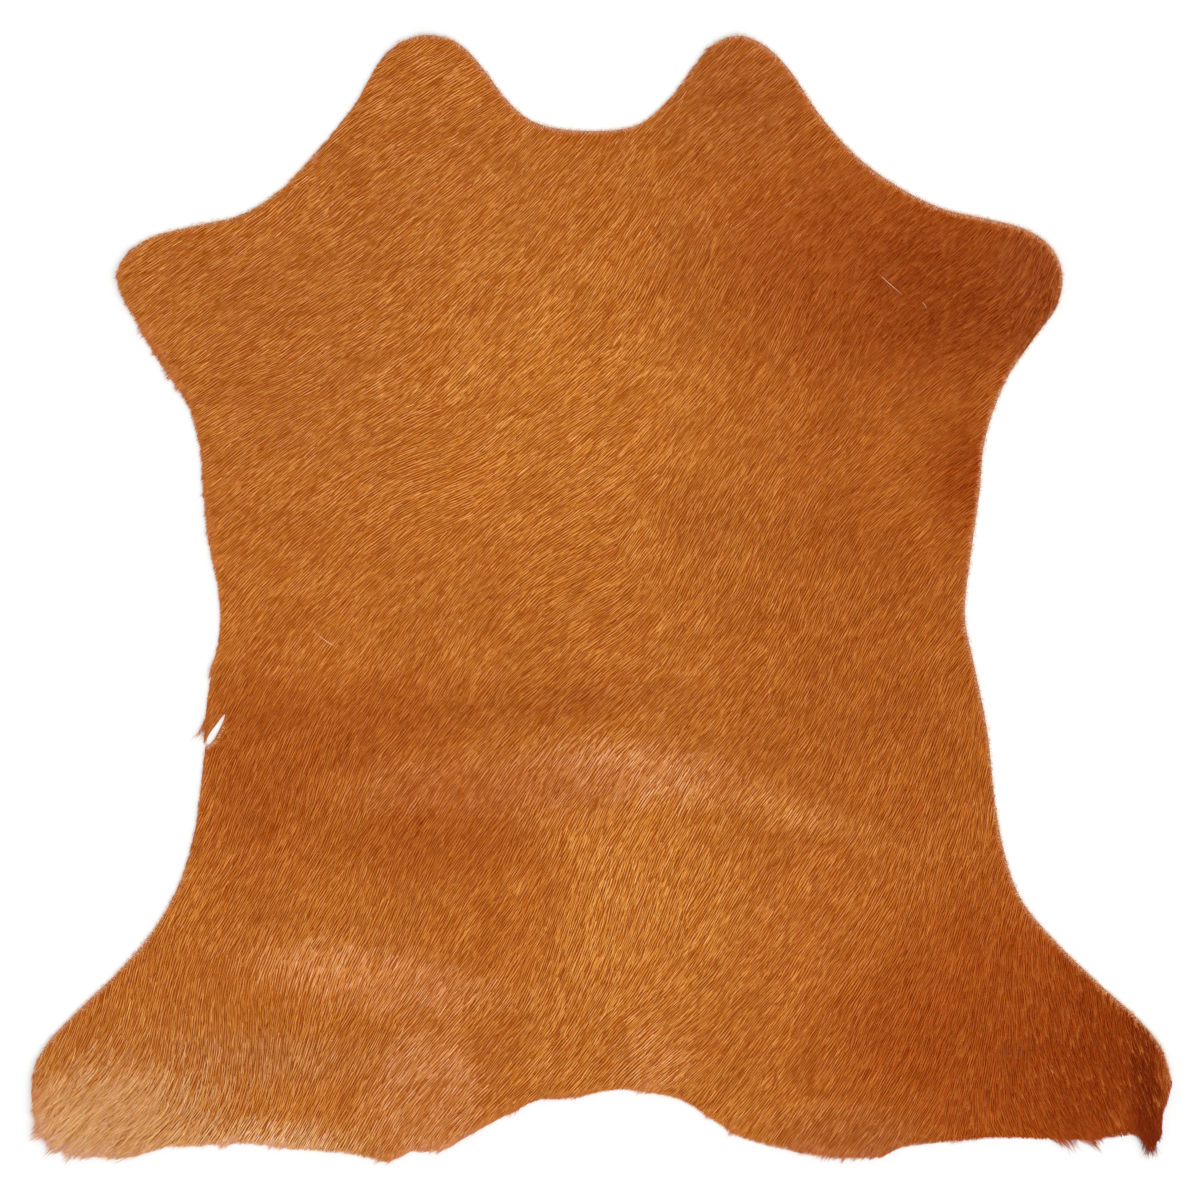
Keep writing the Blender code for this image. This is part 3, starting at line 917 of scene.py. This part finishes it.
root_x = rng.normal(LONG_MIDDLE[0], LONG_REACH[0], LONG_HAIRS) * MM
root_y = rng.normal(LONG_MIDDLE[1], LONG_REACH[1], LONG_HAIRS) * MM
on_skin = read(gap_grid, root_x, root_y) > LONG_ROOM
root_x, root_y = root_x[on_skin], root_y[on_skin]
count = len(root_x)
heading = heading_at(root_x, root_y)
heading = heading + STRAND_TURN * mottle(root_x, root_y, STRAND_SIZE, seed=11)
heading = heading + rng.normal(0, math.radians(LONG_TURN), count)
bend = LONG_BEND + rng.normal(0, math.radians(LONG_BEND_SPREAD), count)
length = rng.uniform(*LONG_LENGTH, count)
past = by_place(root_x, root_y, "past") + rng.uniform(*LONG_PAST, count) * MM
length = trimmed(root_x, root_y, heading + KNIFE_TURN, length, past)
width = LONG_WIDTH * rng.uniform(*LONG_WIDTHS, count)
rise = rng.uniform(*LONG_RISE, count) * MM
pale = np.outer(np.exp(rng.normal(0, LONG_TONE_SPREAD, count)), linear(LONG_COLOUR))
own = coat_colour(root_x, root_y) * TRUE_COLOUR
share = rng.uniform(*PALE_SHARE, count)[:, None]
# The ridge mixes a painted sheen with the hair's pale colour, and the sides carry a painted shade
light = np.clip(own * SHEEN * (1 - share) + pale * share, 0, BRIGHTEST)
dark = (light + own) / 2
long = length > LONG_SHORTEST
add_to_coat(locks(
    "coat_long_hair", root_x[long], root_y[long], heading[long], length[long], width[long],
    bend[long], rise[long], dark[long], light[long], LONG_LOCK,
))


# ------------------------------------------------------------------------------------------------
# The stray hairs
#
# A few white hairs lie loose on the coat, two of them whole and the others broken off short. They
# are shed hair, and nothing holds them but the coat that they lie on.
# ------------------------------------------------------------------------------------------------
# Places and lengths in millimetres, headings in degrees
Stray = namedtuple("Stray", "place x y heading length")
STRAYS = (
    Stray("left side", -212, -40, 145, 22),
    Stray("right shoulder", 222, 259, 318, 25),
    Stray("right shoulder, low", 256, 237, 300, 7),
    Stray("neck", 12, 366, 240, 4),
    Stray("left neck", -215, 317, 250, 4),
    Stray("left foreleg", -254, 231, 200, 3),
    Stray("back, left", -115, 218, 230, 3),
    Stray("middle", 43, 98, 215, 4),
    Stray("loin, left", -112, -17, 225, 4),
    Stray("left hind leg", -316, -352, 262, 6),
    Stray("left hind leg, low", -298, -374, 240, 3),
    Stray("right hind leg", 359, -377, 300, 4),
)
STRAY_WIDTH, STRAY_RISE = 0.45 * MM, 2.6 * MM
STRAY_WIDTHS, STRAY_BEND = (0.9, 1.5), 30  # by chance, the bend in degrees
STRAY_COLOUR, STRAY_SHADE = (238, 202, 166), (210, 160, 120)

_, root_x, root_y, heading, length = zip(*STRAYS)
root_x, root_y, length = np.array(root_x) * MM, np.array(root_y) * MM, np.array(length) * MM
heading = np.radians(heading)
count = len(STRAYS)
width = STRAY_WIDTH * rng.uniform(*STRAY_WIDTHS, count)
bend = rng.normal(0, math.radians(STRAY_BEND), count)
rise = np.full(count, STRAY_RISE)
light = np.tile(linear(STRAY_COLOUR), (count, 1))
dark = np.tile(linear(STRAY_SHADE), (count, 1))
add_to_coat(locks(
    "coat_stray_hairs", root_x, root_y, heading, length, width, bend, rise, dark, light, LONG_LOCK,
))


# ------------------------------------------------------------------------------------------------
# The floor, the light and the camera
#
# A plain white floor under a soft sky of light, with one broad lamp above the lower right side for
# the shading. The camera looks straight down on the middle of the hide.
# ------------------------------------------------------------------------------------------------
FLOOR = 40  # metres each way
SKY_LIGHT, KEY_LIGHT = 0.47, 2.18
KEY_PLACE, KEY_SPREAD = (0.7, -0.7, 3.0), math.radians(80)
LENS, SENSOR = 85, 36  # in the camera's own millimetres
AIM, FRAME_WIDTH = Vector((-0.0016, -0.0016, 0.003)), 0.96  # metres

bpy.ops.object.select_all(action="DESELECT")
bpy.ops.mesh.primitive_plane_add(size=FLOOR)
floor = bpy.context.object
floor.name = "floor"
paper, shader, link = new_material("white floor")
shader.inputs["Base Color"].default_value = (0.9, 0.9, 0.9, 1)
shader.inputs["Roughness"].default_value = 0.9
shader.inputs["Specular IOR Level"].default_value = 0.1
floor.data.materials.append(paper)

scene = bpy.context.scene
world = bpy.data.worlds.new("studio")
scene.world = world
world.use_nodes = True
sky = world.node_tree.nodes["Background"]
sky.inputs["Color"].default_value = (1, 1, 1, 1)
sky.inputs["Strength"].default_value = SKY_LIGHT

bpy.ops.object.light_add(type="SUN", location=KEY_PLACE)
key = bpy.context.object
key.data.angle = KEY_SPREAD
key.data.energy = KEY_LIGHT
key.rotation_euler = (-key.location).to_track_quat("-Z", "Y").to_euler()

distance = FRAME_WIDTH * LENS / SENSOR
bpy.ops.object.camera_add(location=(AIM.x, AIM.y, AIM.z + distance))
camera = bpy.context.object
camera.data.lens, camera.data.sensor_width = LENS, SENSOR
camera.rotation_euler = (0, 0, 0)
scene.camera = camera
scene.view_settings.view_transform = "Standard"
